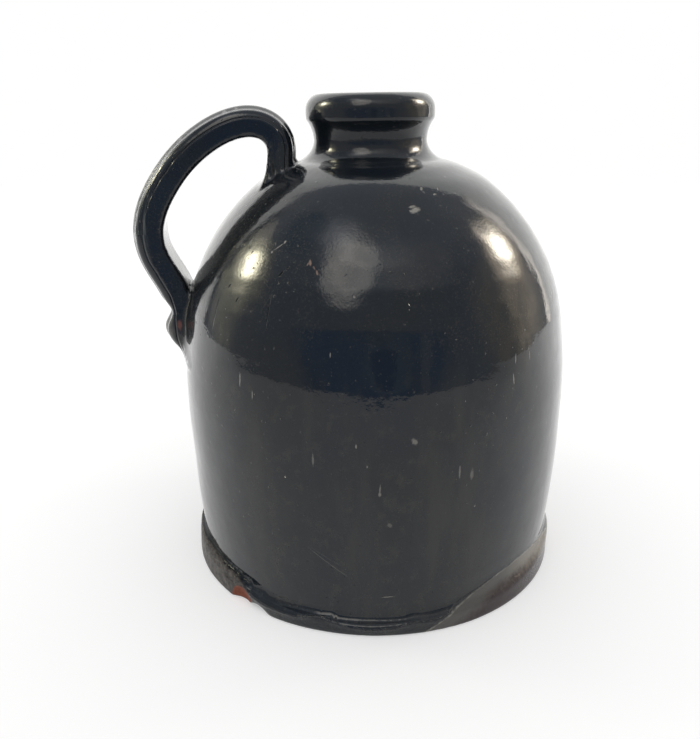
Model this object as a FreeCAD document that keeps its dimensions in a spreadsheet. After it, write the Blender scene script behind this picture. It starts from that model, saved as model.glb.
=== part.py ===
"""Redware jug: one hollow thrown body with a collared neck and one pulled strap handle.

The frame is the jug's own: the origin is the middle of the flat base, +Z is up through the
mouth, and the handle stands out towards -X in the XZ plane. Millimetres throughout.
"""
import FreeCAD, Part
import Sketcher
import math
import os

from FreeCAD import Placement, Rotation, Vector

doc = FreeCAD.newDocument("RedwareJug")

# ---------------------------------------------------------------------------
# Driving dimensions
# ---------------------------------------------------------------------------
DIMENSIONS = {
    # foot, a low flange that the wall steps in from
    "FootRadius": 75.6,
    "FootTopRadius": 75.0,
    "FootHeight": 9.0,
    "LedgeHeight": 13.0,
    # outer wall, a chain of arcs; each lean is the wall's angle from upright at the arc's end
    "BodyRadius": 76.4,
    "WidestHeight": 72.0,
    "LowerWallCurve": 578.0,
    "BellyCurve": 170.0,
    "BellyLean": 11.0,
    "HaunchCurve": 77.0,
    "HaunchLean": 55.0,
    "ShoulderCurve": 42.7,
    "ShoulderLean": 84.0,
    # neck and lip, a collar that stands a little off the body's axis and leans with it
    "CollarOffset": -1.4,
    "CollarTilt": -0.5,
    "WaistHeight": 165.9,
    "WaistRadius": 21.3,
    "NeckCove": 6.2,
    "NeckLean": 60.0,
    "SkirtDepth": 9.0,
    "ThroatCurve": 12.0,
    "ThroatFlare": 36.0,
    "LipEdge": 3.0,
    "LipBand": 2.1,
    "LipRoll": 6.2,
    # hollow
    "WallThickness": 6.0,
    "FloorThickness": 7.0,
    "FloorCove": 14.0,
    "BoreRadius": 13.6,
    "BoreCove": 14.0,
    "BoreDepth": 15.0,
    "MouthRound": 4.5,
    "MouthFlare": 75.0,
    # strap handle
    "StrapWidth": 20.0,
    "StrapThickness": 10.8,
    "StrapThickening": 2.0,
    "GrooveDepth": 0.9,
    "GrooveWidth": 3.4,
    "GrooveSpacing": 11.5,
    "UpperFlare": 9.0,
    "UpperSwell": 8.0,
    "LowerFlare": 5.0,
    "PinchDepth": 4.9,
    "KnuckleSwell": 1.0,
    "TipThinning": 10.5,
    # chip out of the foot's edge
    "ChipRadius": 9.0,
    "ChipDepth": 2.4,
    "ChipHeight": 0.8,
    "ChipAzimuth": 220.7,
}

sheet = doc.addObject("Spreadsheet::Sheet", "Dimensions")
for row, (alias, value) in enumerate(DIMENSIONS.items(), start=1):
    sheet.set(f"A{row}", alias)
    sheet.set(f"B{row}", str(value))
    sheet.setAlias(f"B{row}", alias)
doc.recompute()


def bound(formula):
    """The formula with its cell names in square brackets turned into references."""
    return formula.replace("[", "Dimensions.").replace("]", "")


def value_of(formula):
    """The number that a formula over the sheet's cells gives."""
    return float(sheet.evalExpression(bound(formula)))


# ---------------------------------------------------------------------------
# Half sections that are turned about the vertical axis
# ---------------------------------------------------------------------------
START, END, CENTRE = 1, 2, 3
ROOT_POINT = (-1, 1)
VERTICAL_AXIS = -2


class HalfSection:
    """A closed outline in a body's XZ plane, drawn upwards as a chain and then revolved.

    lean is the direction of the chain's end, in degrees from upright, positive towards the
    axis. Every size is a formula over the sheet, which the sketch keeps as an expression.
    """

    def __init__(self, body, across, up, lean=0.0):
        plane = next(f for f in body.Origin.OriginFeatures if f.Role == "XZ_Plane")
        self.body = body
        self.sketch = body.newObject("Sketcher::SketchObject", body.Name + "Section")
        self.sketch.AttachmentSupport = [(plane, "")]
        self.sketch.MapMode = "FlatFace"
        self.point = Vector(across, up, 0)
        self.lean = lean
        self.first = None
        self.last = None

    def constrain(self, kind, *ends, to=None):
        """Adds one constraint, bound to the sheet where it has a size."""
        if to is None:
            self.sketch.addConstraint(Sketcher.Constraint(kind, *ends))
            return
        value = value_of(to)
        start = math.radians(value) if kind == "Angle" else value
        index = self.sketch.addConstraint(Sketcher.Constraint(kind, *ends, start))
        self.sketch.setExpression(f"Constraints[{index}]", bound(to))

    def place(self, element, point, across=None, up=None):
        """Sets a point's distance from the axis and its height."""
        if across is not None:
            self.constrain("DistanceX", *ROOT_POINT, element, point, to=across)
        if up is not None:
            self.constrain("DistanceY", *ROOT_POINT, element, point, to=up)

    def link(self, start, end, smooth):
        """Makes a new element follow the last one."""
        if self.last is None:
            self.first = start
        else:
            self.constrain("Tangent" if smooth else "Coincident", *self.last, *start)
        self.last = end

    def line(self, across, up, smooth=False):
        """A straight run to the point (across, up), given as plain numbers."""
        target = Vector(across, up, 0)
        element = self.sketch.addGeometry(Part.LineSegment(self.point, target), False)
        self.link((element, START), (element, END), smooth)
        self.point = target
        return element

    def arc(self, curve, lean, smooth=True):
        """A round run whose radius is curve, turning until the chain leans by lean."""
        radius, end_lean = value_of(curve), value_of(lean)
        turn = 1 if end_lean > self.lean else -1
        inward = Vector(-math.cos(math.radians(self.lean)), -math.sin(math.radians(self.lean)), 0)
        centre = self.point + inward * radius * turn
        side = 0 if turn > 0 else 180
        angles = sorted(math.radians(a + side) for a in (self.lean, end_lean))
        circle = Part.Circle(centre, Vector(0, 0, 1), radius)
        element = self.sketch.addGeometry(Part.ArcOfCircle(circle, *angles), False)
        ends = ((element, START), (element, END))
        self.link(*(ends if turn > 0 else ends[::-1]), smooth)
        self.constrain("Radius", element, to=curve)
        outward = Vector(math.cos(math.radians(end_lean)), math.sin(math.radians(end_lean)), 0)
        self.point = centre + outward * radius * turn
        self.lean = end_lean
        return element

    def sweep(self, element, formula):
        """Sets how far an arc turns, in degrees."""
        self.constrain("Angle", element, to=formula)

    def close_on_axis(self, bottom):
        """Runs level to the axis and back down it to the start, then revolves the outline."""
        top = self.line(0, self.point.y)
        self.constrain("Horizontal", top)
        self.constrain("PointOnObject", top, END, VERTICAL_AXIS)
        self.line(0, bottom)
        self.constrain("Coincident", *self.last, *self.first)
        turned = self.body.newObject("PartDesign::Revolution", self.body.Name + "Turned")
        turned.Profile = self.sketch
        turned.ReferenceAxis = (self.sketch, ["V_Axis"])
        turned.Angle = 360
        self.sketch.Visibility = False


def new_body(name):
    return doc.addObject("PartDesign::Body", name)


def wall_arcs(section, inset):
    """The belly, haunch and shoulder, from the widest point up, moved in by inset."""
    belly = section.arc(f"[BellyCurve] - {inset}", "[BellyLean]", smooth=False)
    section.place(belly, CENTRE, up="[WidestHeight]")
    section.sweep(belly, "[BellyLean]")
    haunch = section.arc(f"[HaunchCurve] - {inset}", "[HaunchLean]")
    section.sweep(haunch, "[HaunchLean] - [BellyLean]")
    shoulder = section.arc(f"[ShoulderCurve] - {inset}", "[ShoulderLean]")
    section.sweep(shoulder, "[ShoulderLean] - [HaunchLean]")


def make_outer_form():
    """The thrown body's outside as a solid, from the flat base to under the neck."""
    body = new_body("OuterForm")
    section = HalfSection(body, 0, 0)
    base = section.line(value_of("[FootRadius]"), 0)
    section.constrain("Coincident", base, START, *ROOT_POINT)
    section.constrain("Horizontal", base)
    section.place(base, END, across="[FootRadius]")
    flange = section.line(value_of("[FootTopRadius]"), value_of("[FootHeight]"))
    section.place(flange, END, across="[FootTopRadius]", up="[FootHeight]")

    rise = "([WidestHeight] - [LedgeHeight]) / [LowerWallCurve]"
    start_lean = f"-asin({rise})"
    foot_of_wall = f"[BodyRadius] - [LowerWallCurve] * (1 - cos(asin({rise})))"
    ledge = section.line(value_of(foot_of_wall), value_of("[LedgeHeight]"))
    section.place(ledge, END, up="[LedgeHeight]")
    section.lean = value_of(start_lean)
    lower_wall = section.arc("[LowerWallCurve]", "0", smooth=False)
    section.place(lower_wall, CENTRE, up="[WidestHeight]")
    section.place(lower_wall, END, across="[BodyRadius]", up="[WidestHeight]")
    wall_arcs(section, "0")
    section.close_on_axis(0)
    return body


def neck_foot(body, depth, cove, radius):
    """Starts a section about the waist: a level bottom, a buried cone and the cove above it."""
    lean = math.radians(value_of("[NeckLean]"))
    bottom_up = -value_of(depth)
    cove_up = -value_of(cove) * math.sin(lean)
    cove_across = value_of(radius) + value_of(cove) * (1 - math.cos(lean))
    section = HalfSection(body, 0, bottom_up)
    bottom = section.line(cove_across + (cove_up - bottom_up) * math.tan(lean), bottom_up)
    section.constrain("PointOnObject", bottom, START, VERTICAL_AXIS)
    section.constrain("Horizontal", bottom)
    section.place(bottom, START, up=f"-{depth}")
    section.line(cove_across, cove_up)
    section.lean = math.degrees(lean)
    turn = section.arc(cove, "0")
    section.sweep(turn, "[NeckLean]")
    section.place(turn, CENTRE, up="0")
    section.place(*section.last, across=radius, up="0")
    return section


def stand_on_neck(body):
    """Puts a body drawn about the waist on the neck's own axis, off-centre and tilted."""
    body.Placement = Placement(Vector(0, 0, 0), Rotation(Vector(0, 1, 0), 1.0))
    body.setExpression("Placement.Base.x", bound("[CollarOffset]"))
    body.setExpression("Placement.Base.z", bound("[WaistHeight]"))
    body.setExpression("Placement.Rotation.Angle", bound("[CollarTilt]"))


BAND_START = "([ThroatCurve] + [LipEdge]) * sin([ThroatFlare])"
LIP_TOP = f"{BAND_START} + [LipBand] + [LipRoll]"


def make_collar():
    """The neck's outside and the rolled lip with its upright band, as a solid."""
    body = new_body("Collar")
    section = neck_foot(body, "[SkirtDepth]", "[NeckCove]", "[WaistRadius]")
    throat = section.arc("[ThroatCurve]", "-[ThroatFlare]")
    section.sweep(throat, "[ThroatFlare]")
    edge = section.arc("[LipEdge]", "0")
    section.sweep(edge, "[ThroatFlare]")
    band_end = f"{BAND_START} + [LipBand]"
    band = section.line(section.point.x, value_of(band_end), smooth=True)
    section.place(band, END, up=band_end)
    roll = section.arc("[LipRoll]", "90")
    section.sweep(roll, "90")
    section.close_on_axis(-value_of("[SkirtDepth]"))
    stand_on_neck(body)
    return body


def make_bore():
    """The mouth and the bore through the collar, as the solid that is taken away."""
    body = new_body("Bore")
    section = neck_foot(body, "[BoreDepth]", "[BoreCove]", "[BoreRadius]")
    round_start = value_of(f"{LIP_TOP} - [MouthRound] * sin([MouthFlare])")
    bore = section.line(value_of("[BoreRadius]"), round_start)
    section.constrain("Vertical", bore)
    mouth = section.arc("[MouthRound]", "-[MouthFlare]")
    section.sweep(mouth, "[MouthFlare]")
    section.place(mouth, START, up=LIP_TOP)
    clear = value_of("[LipRoll]") / 2
    lean = math.radians(value_of("[MouthFlare]"))
    top = section.line(section.point.x + clear * math.tan(lean), section.point.y + clear, smooth=True)
    section.place(top, END, up=f"{LIP_TOP} + [LipRoll] / 2")
    section.close_on_axis(-value_of("[BoreDepth]"))
    stand_on_neck(body)
    return body


def make_hollow():
    """The body's inside: the outer wall's arcs moved in, over a coved floor."""
    body = new_body("Hollow")
    floor_height = value_of("[FloorThickness]")
    section = HalfSection(body, 0, floor_height)
    cove_rise = "([WidestHeight] - [FloorThickness] - [FloorCove])"
    cove_reach = "([LowerWallCurve] - [WallThickness] - [FloorCove])"
    cove_lean = f"asin({cove_rise} / {cove_reach})"
    cove_across = f"[BodyRadius] - [LowerWallCurve] + {cove_reach} * cos({cove_lean})"
    floor = section.line(value_of(cove_across), floor_height)
    section.constrain("PointOnObject", floor, START, VERTICAL_AXIS)
    section.place(floor, START, up="[FloorThickness]")
    section.constrain("Horizontal", floor)
    section.lean = -90
    section.arc("[FloorCove]", f"-{cove_lean}")
    lower_wall = section.arc("[LowerWallCurve] - [WallThickness]", "0")
    section.place(lower_wall, CENTRE, up="[WidestHeight]")
    section.place(lower_wall, END, across="[BodyRadius] - [WallThickness]", up="[WidestHeight]")
    wall_arcs(section, "[WallThickness]")
    section.close_on_axis(floor_height)
    return body


# ---------------------------------------------------------------------------
# The strap handle: one section that changes along a bent line, lofted
# ---------------------------------------------------------------------------
# The strap's middle line in the XZ plane, as (distance from the axis, height). It leaves the
# shoulder steeply, turns over, sweeps out and down, and is pressed flat against the wall.
STRAP_LINE = [
    (34.2, 150.0), (35.1, 157.7), (35.2, 165.8), (38.7, 170.8), (44.8, 173.1), (52.1, 172.4),
    (62.6, 167.5), (71.5, 160.2), (78.7, 151.2), (84.0, 141.1), (85.5, 133.7), (84.5, 126.1),
    (81.3, 119.0), (77.8, 112.1), (76.1, 104.7), (76.0, 96.9), (72.8, 86.2),
]
# where along the strap its pinch, knuckle and tip are, and how far each reaches
UPPER_REACH = 0.085
UPPER_SWELL_REACH = 0.035
LOWER_FLARE_PLACE, LOWER_FLARE_REACH = 0.93, 0.10
PINCH_PLACE, PINCH_REACH = 0.866, 0.031
KNUCKLE_PLACE, KNUCKLE_REACH = 0.915, 0.02
TIP_REACH = 0.046
EVEN_STATIONS = 21
CLOSE_STATIONS = 13
CLOSE_START = 0.78
SECTION_POINTS = 32
EDGE_POWER = 2.7
FACE_POWER = 2.3


def swell(position, centre, spread):
    """A smooth bump that is 1 at its centre and fades over the spread."""
    return math.exp(-((position - centre) / spread) ** 2)


def strap_size(along):
    """The strap's width and thickness; along runs from 0 at the shoulder to 1 at the tip."""
    width = value_of("[StrapWidth]")
    width += value_of("[UpperFlare]") * swell(along, 0, UPPER_REACH)
    width += value_of("[LowerFlare]") * swell(along, LOWER_FLARE_PLACE, LOWER_FLARE_REACH)
    thickness = value_of("[StrapThickness]") + value_of("[StrapThickening]") * along
    thickness += value_of("[UpperSwell]") * swell(along, 0, UPPER_SWELL_REACH)
    thickness -= value_of("[PinchDepth]") * swell(along, PINCH_PLACE, PINCH_REACH)
    thickness += value_of("[KnuckleSwell]") * swell(along, KNUCKLE_PLACE, KNUCKLE_REACH)
    thickness -= value_of("[TipThinning]") * swell(along, 1, TIP_REACH)
    return width, thickness


def strap_stations():
    """Places along the strap for its sections, closer together where the tip is shaped."""
    even = [CLOSE_START * index / EVEN_STATIONS for index in range(EVEN_STATIONS)]
    close = [CLOSE_START + (1 - CLOSE_START) * index / CLOSE_STATIONS
             for index in range(CLOSE_STATIONS + 1)]
    return even + close


def strap_section(width, thickness):
    """Points of one section as (across, outward): a flat oval, grooved on its outer face."""
    points = []
    for index in range(SECTION_POINTS):
        angle = 2 * math.pi * index / SECTION_POINTS
        cosine, sine = math.cos(angle), math.sin(angle)
        across = math.copysign(abs(cosine) ** (2 / EDGE_POWER), cosine) * width / 2
        outward = math.copysign(abs(sine) ** (2 / FACE_POWER), sine) * thickness / 2
        if sine > 0:
            spacing = value_of("[GrooveSpacing]") * width / value_of("[StrapWidth]")
            groove = swell(abs(across), spacing / 2, value_of("[GrooveWidth]") / 2)
            outward -= value_of("[GrooveDepth]") * groove * sine
        points.append((across, outward))
    return points


def make_strap():
    """The pulled strap as a solid whose two ends are buried in the wall."""
    middle = Part.BSplineCurve()
    middle.interpolate([Vector(-out, 0, up) for out, up in STRAP_LINE])
    length = middle.length()
    wires = []
    for along in strap_stations():
        parameter = middle.parameterAtDistance(along * length, middle.FirstParameter)
        place = middle.value(parameter)
        tangent = Vector(*middle.tangent(parameter)[0]).normalize()
        outward = tangent.cross(Vector(0, 1, 0)).normalize()
        width, thickness = strap_size(along)
        outline = Part.BSplineCurve()
        ring = [place + Vector(0, across, 0) + outward * out
                for across, out in strap_section(width, thickness)]
        outline.interpolate(ring, PeriodicFlag=True)
        wires.append(Part.Wire(outline.toShape()))
    strap = doc.addObject("Part::Feature", "Strap")
    strap.Shape = Part.makeLoft(wires, True, False)
    return strap


# ---------------------------------------------------------------------------
# The chip, and the clay put together
# ---------------------------------------------------------------------------
def make_chip():
    """The ball whose edge bites a shallow chip out of the foot."""
    chip = doc.addObject("Part::Sphere", "FootChip")
    chip.setExpression("Radius", bound("[ChipRadius]"))
    reach = "([FootRadius] + [ChipRadius] - [ChipDepth])"
    chip.setExpression("Placement.Base.x", bound(f"{reach} * cos([ChipAzimuth])"))
    chip.setExpression("Placement.Base.y", bound(f"{reach} * sin([ChipAzimuth])"))
    chip.setExpression("Placement.Base.z", bound("[ChipHeight]"))
    return chip


def joined(name, pieces):
    union = doc.addObject("Part::MultiFuse", name)
    union.Shapes = pieces
    return union


def make_jug():
    """The one fired piece: everything solid joined, then everything hollow taken out."""
    clay = joined("Clay", [make_outer_form(), make_collar(), make_strap()])
    space = joined("Space", [make_hollow(), make_bore()])
    emptied = doc.addObject("Part::Cut", "Emptied")
    emptied.Base = clay
    emptied.Tool = space
    jug = doc.addObject("Part::Cut", "Jug")
    jug.Label = "jug"
    jug.Base = emptied
    jug.Tool = make_chip()
    return jug


def check(jug):
    """Stops the build when an object failed to compute or the jug isn't one sound solid."""
    for item in doc.Objects:
        if "Invalid" in item.State or "Error" in item.State:
            raise RuntimeError(f"{item.Name} did not compute: {item.State}")
    shape = jug.Shape
    if shape.isNull() or not shape.isValid() or len(shape.Solids) != 1:
        raise RuntimeError("the jug is not one valid solid")


jug = make_jug()
doc.recompute()
check(jug)
os.makedirs("parts", exist_ok=True)
jug.Shape.Solids[0].exportStep(f"parts/{jug.Label}.step")
print("jug volume", round(jug.Shape.Volume), "box", jug.Shape.optimalBoundingBox())
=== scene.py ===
"""A hand-thrown redware jug under a glossy near-black glaze.

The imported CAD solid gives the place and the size. Its surface is remeshed and settled onto a
smooth field of the same form, which adds what the potter's hand and the kiln left: throwing
rings, an uneven foot, the pressed ends of the strap, the glaze's edge and a chip.
Lengths inside the field are millimetres; everything handed to Blender is in metres.
"""
import bpy
import math
import numpy as np
from mathutils import Matrix, Vector


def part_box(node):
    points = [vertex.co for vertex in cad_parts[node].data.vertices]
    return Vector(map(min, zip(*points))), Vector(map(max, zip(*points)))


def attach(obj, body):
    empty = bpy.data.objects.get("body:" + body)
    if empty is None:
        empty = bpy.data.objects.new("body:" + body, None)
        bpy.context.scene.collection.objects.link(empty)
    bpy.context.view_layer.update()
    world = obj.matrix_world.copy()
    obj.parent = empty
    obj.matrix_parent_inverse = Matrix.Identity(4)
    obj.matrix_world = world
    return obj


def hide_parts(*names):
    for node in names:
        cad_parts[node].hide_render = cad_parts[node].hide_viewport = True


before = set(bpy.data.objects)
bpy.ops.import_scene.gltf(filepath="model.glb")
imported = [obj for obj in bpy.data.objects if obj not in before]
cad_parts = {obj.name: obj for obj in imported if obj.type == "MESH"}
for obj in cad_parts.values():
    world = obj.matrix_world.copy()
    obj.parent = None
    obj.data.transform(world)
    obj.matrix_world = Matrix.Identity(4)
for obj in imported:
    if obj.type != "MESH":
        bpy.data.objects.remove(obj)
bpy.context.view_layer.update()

MM = 0.001
WIDEST_RADIUS = 76.4                   # of the body, in units of the field
_, jug_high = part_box("jug")
UNIT = jug_high.x / MM / WIDEST_RADIUS
SCALE = MM * UNIT

# ---------------------------------------------------------------------------
# The camera
# ---------------------------------------------------------------------------
CAMERA_AZIMUTH = 262.0                 # degrees from +X, anticlockwise seen from above
CAMERA_DISTANCE = 298.6 * UNIT
CAMERA_HEIGHT = 180.8 * UNIT
CAMERA_PITCH = 19.63
CAMERA_YAW = 1.83
CAMERA_ROLL = -0.34
CAMERA_LENS = 37.06


def make_camera():
    """The photograph's camera, to the left of the jug's front and looking down on it."""
    azimuth = math.radians(CAMERA_AZIMUTH)
    place = Vector((math.cos(azimuth), math.sin(azimuth), 0)) * CAMERA_DISTANCE
    place.z = CAMERA_HEIGHT
    heading = azimuth + math.pi + math.radians(CAMERA_YAW)
    pitch, roll = math.radians(CAMERA_PITCH), math.radians(CAMERA_ROLL)
    forward = Vector((math.cos(heading) * math.cos(pitch), math.sin(heading) * math.cos(pitch),
                      -math.sin(pitch)))
    level = forward.cross(Vector((0, 0, 1))).normalized()
    upright = level.cross(forward)
    right = level * math.cos(roll) + upright * math.sin(roll)
    up = upright * math.cos(roll) - level * math.sin(roll)
    data = bpy.data.cameras.new("camera")
    data.lens = CAMERA_LENS
    data.sensor_width = 36.0
    data.clip_start = 0.01
    camera = bpy.data.objects.new("camera", data)
    turn = Matrix((right, up, -forward)).transposed().to_4x4()
    camera.matrix_world = Matrix.Translation(place * MM) @ turn
    bpy.context.scene.collection.objects.link(camera)
    bpy.context.scene.camera = camera


# ---------------------------------------------------------------------------
# The form as a field: negative inside the clay, zero on its surface, millimetres
# ---------------------------------------------------------------------------
# outer wall, a chain of arcs from the widest point up: (radius, lean where it ends)
WIDEST_HEIGHT, LOWER_WALL_CURVE = 72.0, 578.0
WALL_ARCS = ((170.0, 11.0), (77.0, 55.0), (42.7, 84.0))
WALL_THICKNESS, FLOOR_THICKNESS, FLOOR_COVE = 6.0, 7.0, 14.0
# collar, about its own axis
COLLAR_OFFSET, COLLAR_TILT, WAIST_HEIGHT = -1.4, -0.5, 165.9
WAIST_RADIUS, NECK_COVE = 21.3, 6.2
THROAT_CURVE, THROAT_FLARE, LIP_EDGE, LIP_BAND, LIP_ROLL = 12.0, 36.0, 3.0, 2.1, 6.2
BORE_RADIUS, MOUTH_ROUND = 13.6, 4.5
# strap handle
STRAP_LINE = np.array([
    (34.2, 150.0), (35.1, 157.7), (35.2, 165.8), (38.7, 170.8), (44.8, 173.1), (52.1, 172.4),
    (62.6, 167.5), (71.5, 160.2), (78.7, 151.2), (84.0, 141.1), (85.5, 133.7), (84.5, 126.1),
    (81.3, 119.0), (77.8, 112.1), (76.1, 104.7), (76.0, 96.9), (72.8, 86.2)])
STRAP_WIDTH, STRAP_THICKNESS, STRAP_THICKENING = 20.0, 10.8, 2.0
# where it swells or thins: amount, place along it (0 at the root, 1 at the end), spread
STRAP_WIDER = ((9.0, 0.0, 0.085), (5.0, 0.93, 0.10))
STRAP_THICKER = ((8.0, 0.0, 0.035), (-4.9, 0.866, 0.031), (1.0, 0.915, 0.02),
                 (-10.5, 1.0, 0.046))
GROOVE_ACROSS, GROOVE_SPREAD, GROOVE_DEPTH = 5.75, 1.7, 0.9


def turned(degrees):
    """The angle's cosine and sine."""
    return math.cos(math.radians(degrees)), math.sin(math.radians(degrees))


def soft_min(one, two, blend):
    """The lesser of the two, eased over blend where they cross."""
    mix = np.clip(0.5 + 0.5 * (two - one) / blend, 0, 1)
    return two + (one - two) * mix - blend * mix * (1 - mix)


def soft_max(one, two, blend):
    """The greater of the two, eased over blend where they cross."""
    return -soft_min(-one, -two, blend)


def round_union(one, two, radius):
    """The union with a quarter-round fillet in the inner corner."""
    corner = np.hypot(np.maximum(radius - one, 0), np.maximum(radius - two, 0))
    return np.maximum(np.minimum(one, two), radius) - corner


def round_common(one, two, radius):
    """The common part with a quarter-round on the outer corner."""
    return -round_union(-one, -two, radius)


def bump(value, centre, spread):
    """A bell curve, 1 at the centre."""
    return np.exp(-((value - centre) / spread) ** 2)


class Around:
    """A smooth closed curve of values round the jug, through a few (azimuth, value) points.

    The azimuth counts from the side that faces the camera, positive to its right."""
    STEPS = 720

    def __init__(self, points, blur=5.0):
        azimuths, values = np.array(sorted(points), float).T
        samples = np.arange(self.STEPS) * 360.0 / self.STEPS - 180.0
        line = np.interp(samples, azimuths, values, period=360.0)
        reach = np.minimum(np.arange(self.STEPS), self.STEPS - np.arange(self.STEPS))
        kernel = np.exp(-0.5 * (reach * 360.0 / self.STEPS / blur) ** 2)
        spectrum = np.fft.rfft(line) * np.fft.rfft(kernel / kernel.sum())
        self.line = np.fft.irfft(spectrum, self.STEPS)

    def __call__(self, azimuth):
        place = (azimuth + 180.0) / 360.0 * self.STEPS
        low = np.floor(place).astype(int)
        part = place - low
        part = part * part * (3 - 2 * part)
        return (self.line[low % self.STEPS] * (1 - part)
                + self.line[(low + 1) % self.STEPS] * part)


def azimuth_of(points):
    """Degrees round the jug from the side that faces the camera."""
    angle = np.degrees(np.arctan2(points[:, 1], points[:, 0])) - CAMERA_AZIMUTH
    return (angle + 180.0) % 360.0 - 180.0


def wall(radius, height, inset):
    """Distance to the body's thrown wall, without base or neck, moved in by inset."""
    centre = np.array((WIDEST_RADIUS - LOWER_WALL_CURVE, WIDEST_HEIGHT))
    distance = np.hypot(radius - centre[0], height - centre[1]) - LOWER_WALL_CURVE
    centre = np.array((WIDEST_RADIUS - WALL_ARCS[0][0], WIDEST_HEIGHT))
    start_lean = 0.0
    curve = WALL_ARCS[0][0]
    for next_curve, end_lean in WALL_ARCS:
        centre = centre + (curve - next_curve) * np.array(turned(start_lean))
        curve = next_curve
        across, up = radius - centre[0], height - centre[1]
        lean = np.degrees(np.arctan2(up, across))
        here = np.where(across > 0, np.hypot(across, up), up) - curve
        distance = np.where(lean >= start_lean, here, distance)
        start_lean = end_lean
    return distance + inset


def to_collar(points):
    """Points in the collar's own axes, from its waist."""
    cosine, sine = turned(COLLAR_TILT)
    across = points[:, 0] - COLLAR_OFFSET
    up = points[:, 2] - WAIST_HEIGHT
    local = across * cosine - up * sine
    return np.hypot(local, points[:, 1]), across * sine + up * cosine


def neck(radius, height):
    """Distance to the neck and the rolled lip as a solid, from the waist's axes."""
    cosine, sine = turned(THROAT_FLARE)
    throat_across = WAIST_RADIUS + THROAT_CURVE
    edge_across = throat_across - (THROAT_CURVE + LIP_EDGE) * cosine
    edge_up = (THROAT_CURVE + LIP_EDGE) * sine
    throat = THROAT_CURVE - np.hypot(radius - throat_across, height)
    edge = np.hypot(radius - edge_across, height - edge_up) - LIP_EDGE
    edge = np.where(radius > edge_across, edge, -LIP_EDGE)
    band = radius - edge_across - LIP_EDGE
    across, up = radius - (edge_across + LIP_EDGE - LIP_ROLL), height - edge_up - LIP_BAND
    roll = np.where(across > 0, np.hypot(across, up), np.abs(up)) - LIP_ROLL
    upper = np.where(height < edge_up, edge, np.where(up < 0, band, roll))
    in_throat = height * cosine < (throat_across - radius) * sine
    upper = np.where(in_throat, throat, upper)
    return np.where(height < 0, radius - WAIST_RADIUS, upper)


def bore(radius, height):
    """Distance to the mouth and bore as an empty space."""
    lip_top = (THROAT_CURVE + LIP_EDGE) * turned(THROAT_FLARE)[1] + LIP_BAND + LIP_ROLL
    start = lip_top - MOUTH_ROUND * turned(15.0)[0]
    across = radius - BORE_RADIUS - MOUTH_ROUND
    flared = MOUTH_ROUND - np.hypot(np.minimum(across, 0), height - start)
    return np.where(height < start, radius - BORE_RADIUS, flared)


STRAP_SAMPLES = 360


def natural_spline(points, count):
    """Evenly spaced points and their directions along a natural cubic spline."""
    chords = np.hypot(*np.diff(points, axis=0).T)
    knots = np.concatenate(([0], np.cumsum(chords)))
    size = len(points)
    matrix = np.eye(size)
    target = np.zeros_like(points)
    for i in range(1, size - 1):
        before, after = chords[i - 1], chords[i]
        matrix[i, i - 1:i + 2] = before, 2 * (before + after), after
        target[i] = 6 * ((points[i + 1] - points[i]) / after - (points[i] - points[i - 1]) / before)
    bend = np.linalg.solve(matrix, target)
    fine = np.linspace(0, knots[-1], count * 4)
    span = np.clip(np.searchsorted(knots, fine, side="right") - 1, 0, size - 2)
    width = chords[span][:, None]
    ahead = (fine - knots[span])[:, None]
    behind = width - ahead
    line = ((bend[span] * behind ** 3 + bend[span + 1] * ahead ** 3) / (6 * width)
            + (points[span] / width - bend[span] * width / 6) * behind
            + (points[span + 1] / width - bend[span + 1] * width / 6) * ahead)
    run = np.concatenate(([0], np.cumsum(np.hypot(*np.diff(line, axis=0).T))))
    even = np.linspace(0, run[-1], count)
    line = np.column_stack([np.interp(even, run, line[:, axis]) for axis in (0, 1)])
    way = np.gradient(line, even, axis=0)
    return line, way / np.hypot(*way.T)[:, None], run[-1]


strap_line, strap_way, strap_length = natural_spline(STRAP_LINE, STRAP_SAMPLES)


def strap_frame(points):
    """Where points lie along the strap (0 to 1), across it and out from its middle line."""
    out, up = -points[:, 0], points[:, 2]
    gap = ((out[:, None] - strap_line[None, :, 0]) ** 2
           + (up[:, None] - strap_line[None, :, 1]) ** 2)
    nearest = gap.argmin(axis=1)
    step = strap_length / (STRAP_SAMPLES - 1)
    offset = np.column_stack([out, up]) - strap_line[nearest]
    ahead = (offset * strap_way[nearest]).sum(axis=1)
    place = np.clip(nearest + ahead / step, 0, STRAP_SAMPLES - 1.001)
    low = place.astype(int)
    part = (place - low)[:, None]
    centre = strap_line[low] * (1 - part) + strap_line[low + 1] * part
    way = strap_way[low] * (1 - part) + strap_way[low + 1] * part
    offset = np.column_stack([out, up]) - centre
    outward = offset[:, 1] * way[:, 0] - offset[:, 0] * way[:, 1]
    beyond = np.maximum(np.abs(ahead) - step, 0) * ((nearest == 0) | (nearest == STRAP_SAMPLES - 1))
    return place / (STRAP_SAMPLES - 1), points[:, 1], outward, beyond


def swollen(size, along, swellings):
    """The size with the swellings added to it."""
    for amount, centre, spread in swellings:
        size = size + amount * bump(along, centre, spread)
    return size


def strap(points):
    """Distance to the strap handle."""
    along, across, outward, beyond = strap_frame(points)
    width = swollen(STRAP_WIDTH, along, STRAP_WIDER)
    thickness = swollen(STRAP_THICKNESS + STRAP_THICKENING * along, along, STRAP_THICKER)
    groove = bump(np.abs(across), GROOVE_ACROSS * width / STRAP_WIDTH, GROOVE_SPREAD)
    half = thickness / 2 - GROOVE_DEPTH * groove * np.clip(outward, 0, 1)
    edge_power = np.where(outward > 0, 2.7, 10.0)
    face_power = np.where(outward > 0, 2.3, 10.0)
    size = np.abs(across / width * 2) ** edge_power + np.abs(outward / half) ** face_power
    size = size ** (2 / (edge_power + face_power))
    side = (size - 1) * half
    return np.where(beyond > 0, np.hypot(np.maximum(side, 0), beyond), side)


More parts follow.
